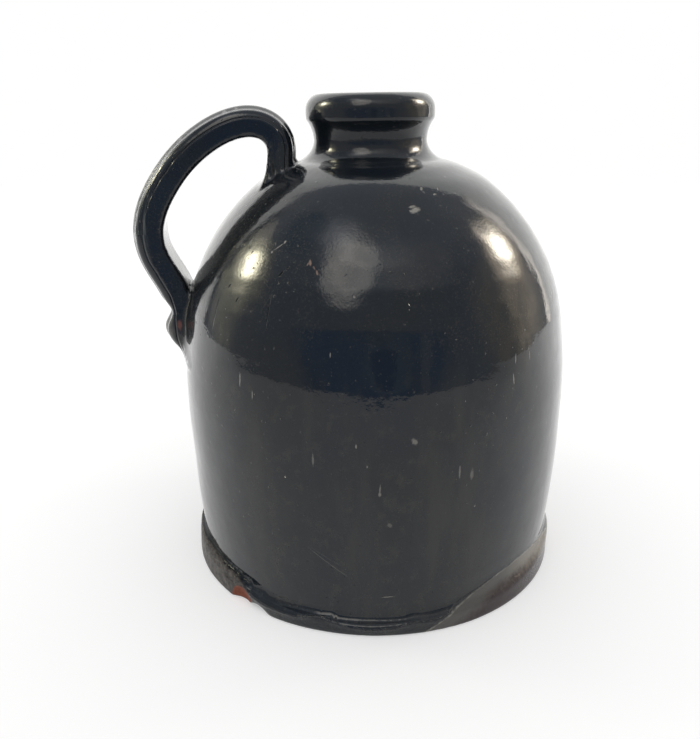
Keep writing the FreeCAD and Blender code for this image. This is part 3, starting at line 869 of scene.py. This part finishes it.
def make_world():
    """A plain level for diffuse light, white to the camera, and the room to the gloss."""
    world = bpy.data.worlds.new("room")
    bpy.context.scene.world = world
    g = Graph(world)
    way = g.node("TexCoord").outputs["Generated"]
    parts = g.node("SeparateXYZ", {0: way}).outputs
    rise = g.product(g.math("ARCSINE", parts[2]), math.degrees(1))
    flat = g.vector("NORMALIZE", g.vector("MULTIPLY", way, (1, 1, 0)))
    facing = g.vector("DOT_PRODUCT", flat, tuple(direction(0, 0)))
    turn = g.product(g.math("ARCCOSINE", facing), math.degrees(1))
    wobble = g.math("MULTIPLY_ADD", g.noise(way, 3.0, 3.0), 10.0, -5.0)

    room = g.mix(g.ramp(rise, 30.0, 62.0), LOW_ROOM, HIGH_ROOM)
    cloudy = g.ramp(g.noise(way, 10.0, 4.0, 0.65), 0.40, 0.60)
    for side, elevation, wide, tall, soft, colour in PATCHES:
        size, ahead = distance_in_room(g, way, side, elevation, wide, tall, 0.0, 2.6)
        size = g.math("MULTIPLY_ADD", wobble, 0.08, size)
        patch = g.math("POWER", g.ramp(size, 1 + soft, 1 - soft), 1 + soft)
        patch = g.product(patch, g.blend(cloudy, 1.0 - 0.6 * soft, 1.0), ahead)
        room = g.mix(patch, room, colour)
    for side, elevation, wide, tall, lean, colour in GLOWS:
        size, ahead = distance_in_room(g, way, side, elevation, wide, tall, lean, 2.0)
        size = g.math("MULTIPLY_ADD", wobble, 0.12, size)
        glow = g.product(g.math("EXPONENT", g.product(size, -1.0)), ahead)
        room = g.vector("MULTIPLY_ADD", glow, colour, room)

    # a white sheet hangs behind the jug; its right edge catches the light, its left frame is dark
    back = g.vector("DOT_PRODUCT", way, tuple(direction(180, 0)))
    across = g.vector("DOT_PRODUCT", way, tuple(direction(90, 0)))
    under_top = g.ramp(g.math("SUBTRACT", g.product(back, 2.1), parts[2]), -0.02, 0.04)
    is_right = g.ramp(across, -0.02, 0.02)
    sides = g.blend(is_right, g.ramp(turn, 117.0, 119.0), g.ramp(turn, 128.5, 130.0))
    sheet = g.product(under_top, sides)
    bright_edge = g.product(g.ramp(turn, 124.0, 125.5), g.ramp(turn, 130.0, 128.5),
                            is_right, g.ramp(rise, 46.0, 38.0))
    dark_frame = g.product(g.ramp(turn, 112.5, 114.5), g.ramp(turn, 122.0, 119.5),
                           g.ramp(rise, 50.0, 42.0), g.blend(is_right, 1.0, 0.0))
    room = g.mix(bright_edge, room, SHEET_EDGE)
    room = g.mix(dark_frame, room, SHEET_FRAME)
    room = g.mix(sheet, room, SHEET)

    path = g.node("LightPath").outputs
    seen = g.mix(path["Is Glossy Ray"], (DIFFUSE_LEVEL,) * 3, room)
    seen = g.mix(path["Is Camera Ray"], seen, (1.0, 1.0, 1.0))
    background = g.node("Background", {"Color": seen, "Strength": 1.0})
    g.node("OutputWorld", {"Surface": background.outputs[0]})


# how far the table top reaches before, behind and beside the jug, and how far it lies below it
TABLE_FRONT, TABLE_BACK, TABLE_SIDE, TABLE_GAP = 540.0, 1400.0, 900.0, 0.02


def make_floor():
    """A pale table top; beyond its edges the room begins."""
    front, right = direction(0, 0), direction(90, 0)
    corners = [front * out + right * over + Vector((0, 0, -TABLE_GAP))
               for out, over in ((TABLE_FRONT, -TABLE_SIDE), (TABLE_FRONT, TABLE_SIDE),
                                 (-TABLE_BACK, TABLE_SIDE), (-TABLE_BACK, -TABLE_SIDE))]
    mesh = bpy.data.meshes.new("table_top")
    mesh.from_pydata([tuple(corner * SCALE) for corner in corners], [], [(0, 1, 2, 3)])
    floor = bpy.data.objects.new("table_top", mesh)
    bpy.context.scene.collection.objects.link(floor)
    material = bpy.data.materials.new("table_top")
    g = Graph(material)
    path = g.node("LightPath").outputs
    place = g.node("NewGeometry").outputs["Position"]
    behind = g.vector("DOT_PRODUCT", place, tuple(direction(180, 0) / SCALE))
    # to reflections only, the table top glows brighter the farther behind the jug it lies: painted
    # light for the lit table beyond
    far = g.product(path["Is Glossy Ray"], g.ramp(behind, -260.0, 340.0, 0.0, 0.8))
    strength = g.blend(path["Is Camera Ray"], far, 0.34)
    pale = g.node("BsdfDiffuse", {"Color": (0.74, 0.74, 0.74)})
    glow = g.node("Emission", {"Color": (1, 1, 1), "Strength": strength})
    lit = g.node("AddShader", {0: pale.outputs[0], 1: glow.outputs[0]})
    g.node("OutputMaterial", {"Surface": lit.outputs[0]})
    mesh.materials.append(material)


# lamps: side, elevation, distance, width, height, power, colour
LAMPS = (
    (-101.0, 27.0, 700.0, 150.0, 220.0, 0.35, (1.0, 0.96, 0.90)),
    (113.0, 27.0, 700.0, 150.0, 220.0, 0.35, (1.0, 0.96, 0.90)))
LAMP_TARGET = 125.0


def make_lamps():
    """Two soft lamps; the gloss shows the room's glows in their place."""
    for number, (side, elevation, distance, wide, tall, power, colour) in enumerate(LAMPS):
        data = bpy.data.lights.new(f"lamp_{number}", "AREA")
        data.shape = "RECTANGLE"
        data.size, data.size_y = wide * SCALE, tall * SCALE
        data.energy = power * UNIT ** 2
        data.color = colour
        lamp = bpy.data.objects.new(f"lamp_{number}", data)
        lamp.visible_glossy = False
        away = direction(side, elevation)
        lamp.location = (away * distance + Vector((0, 0, LAMP_TARGET))) * SCALE
        lamp.rotation_euler = away.to_track_quat("Z", "Y").to_euler()
        bpy.context.scene.collection.objects.link(lamp)


# ---------------------------------------------------------------------------
# Everything together
# ---------------------------------------------------------------------------
make_camera()
jug_piece = make_jug()
jug_piece.data.materials.clear()
jug_piece.data.materials.append(make_glaze())
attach(jug_piece, "root")
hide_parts("jug")
make_world()
make_floor()
make_lamps()
bpy.context.scene.view_settings.view_transform = "Standard"
